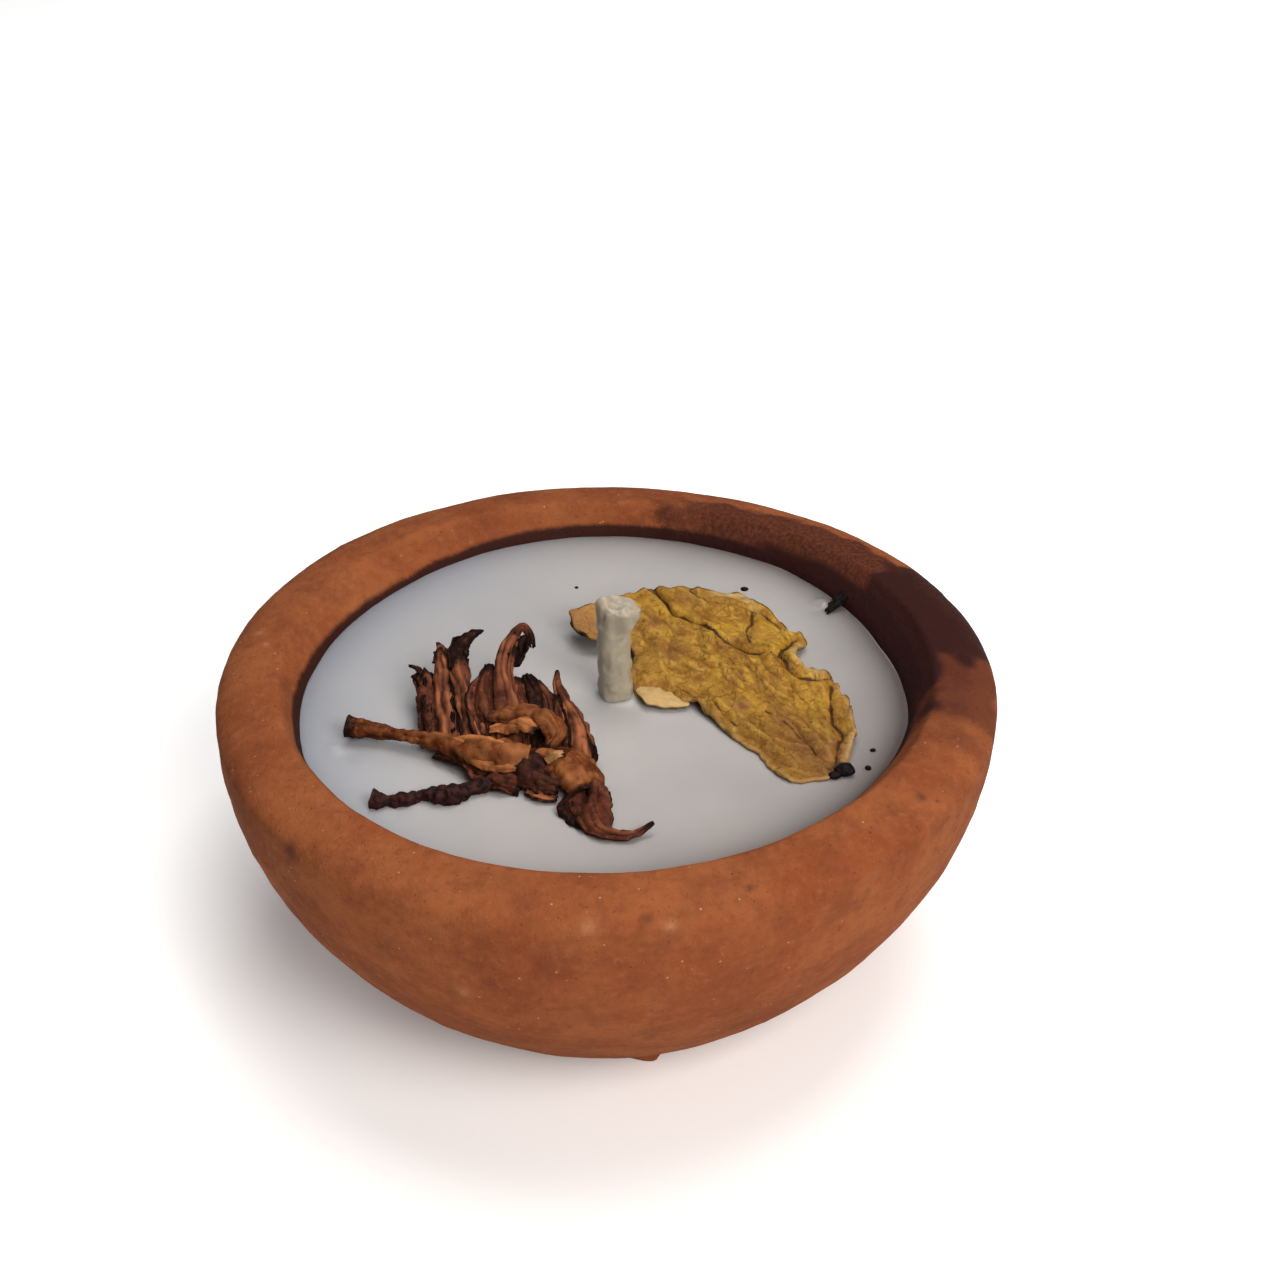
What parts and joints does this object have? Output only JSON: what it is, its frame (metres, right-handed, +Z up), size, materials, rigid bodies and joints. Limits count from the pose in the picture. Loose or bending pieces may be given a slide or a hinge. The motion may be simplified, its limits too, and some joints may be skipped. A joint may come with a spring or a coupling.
{
  "type": "wax-filled clay diya",
  "caption": "Round terracotta diya bowl filled with pale wax, with an upright coated cotton wick, a dried yellow petal and a dried brown flower set on the wax.",
  "frame": {"origin": "centre of the flat foot, on the surface that the bowl stands on", "axes": "+Z up along the bowl's axis; -Y is the front, the side nearest the viewer; +X to the right, the side of the yellow petal"},
  "size_m": [0.07, 0.07, 0.0367],
  "materials": {
    "clay": "matte",
    "wax": "satin",
    "cotton": "matte",
    "wick_wax": "satin",
    "tab_steel": "satin",
    "glue": "satin",
    "yellow_petal": "matte",
    "brown_flower": "matte",
    "tan_flower": "matte",
    "dark_stem": "matte",
    "char": "matte"
  },
  "bodies": {
    "root": {"clay_bowl": "clay", "wax_fill": "wax", "wick_core": "cotton", "wick_coat": "wick_wax", "wick_tab": "tab_steel", "glue_dot": "glue", "yellow_petal": "yellow_petal", "petal_claw": "char", "flower_hub": "brown_flower", "flower_tube": "tan_flower", "flower_stalk": "dark_stem", "limb_upper": "tan_flower", "limb_tail": "brown_flower", "bract_left": "brown_flower", "bract_front": "brown_flower", "petal_ragged": "brown_flower", "petal_broad": "brown_flower", "petal_blade": "brown_flower", "petal_inner": "brown_flower", "petal_hook": "brown_flower", "petal_dark": "brown_flower", "petal_right": "brown_flower", "petal_curl": "tan_flower", "char_flake": "char", "char_specks": "char"}
  },
  "joints": []
}
